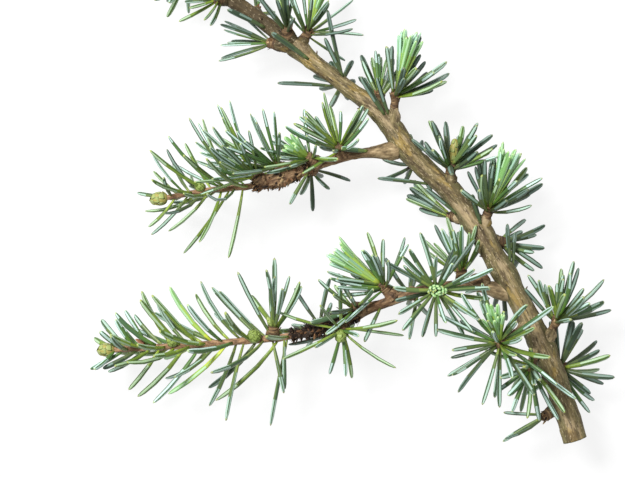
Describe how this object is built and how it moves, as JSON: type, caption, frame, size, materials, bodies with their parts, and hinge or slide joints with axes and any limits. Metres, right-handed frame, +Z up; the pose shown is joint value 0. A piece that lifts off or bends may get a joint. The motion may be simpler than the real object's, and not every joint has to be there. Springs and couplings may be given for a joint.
{
  "type": "cut atlas cedar branch",
  "caption": "Cut branch of blue Atlas cedar lying flat: a tapering woody stem with side shoots, spurs with rosettes of needles, and young tips with single needles and buds.",
  "frame": {"origin": "middle of the underside of the branch's bounding box, on the level surface it lies on", "axes": "+Z up from that surface; the stem grows from its cut end at +X -Y towards its tip at -X +Y, and the side shoots point towards -X"},
  "size_m": [0.1556, 0.1704, 0.0429],
  "materials": {
    "bark": "rough grey-brown bark",
    "shoot_bark": "scaly brown bark",
    "spur_needles": "waxy blue-green needles",
    "young_needles": "waxy blue-green needles on a reddish twig"
  },
  "bodies": {
    "root": {"lower_shoot": "shoot_bark", "lower_shoot_spur_01": "spur_needles", "lower_shoot_spur_02": "spur_needles", "lower_shoot_spur_03": "spur_needles", "lower_shoot_spur_04": "spur_needles", "lower_shoot_spur_05": "spur_needles", "lower_shoot_spur_06": "spur_needles", "lower_shoot_spur_07": "spur_needles", "lower_shoot_spur_08": "spur_needles", "lower_shoot_tip": "young_needles", "main_stem": "bark", "main_stem_spur_01": "spur_needles", "main_stem_spur_02": "spur_needles", "main_stem_spur_03": "spur_needles", "main_stem_spur_04": "spur_needles", "main_stem_spur_05": "spur_needles", "main_stem_spur_06": "spur_needles", "main_stem_spur_07": "spur_needles", "main_stem_spur_08": "spur_needles", "main_stem_spur_09": "spur_needles", "main_stem_spur_10": "spur_needles", "main_stem_spur_11": "spur_needles", "main_stem_spur_12": "spur_needles", "main_stem_spur_13": "spur_needles", "main_stem_spur_14": "spur_needles", "main_stem_spur_15": "spur_needles", "main_stem_spur_16": "spur_needles", "main_stem_spur_17": "spur_needles", "main_stem_spur_18": "spur_needles", "main_stem_spur_19": "spur_needles", "main_stem_spur_20": "spur_needles", "main_stem_spur_21": "spur_needles", "main_stem_spur_22": "spur_needles", "main_stem_tip": "young_needles", "upper_shoot": "shoot_bark", "upper_shoot_spur_01": "spur_needles", "upper_shoot_spur_02": "spur_needles", "upper_shoot_spur_03": "spur_needles", "upper_shoot_spur_04": "spur_needles", "upper_shoot_spur_05": "spur_needles", "upper_shoot_tip": "young_needles"}
  },
  "joints": []
}
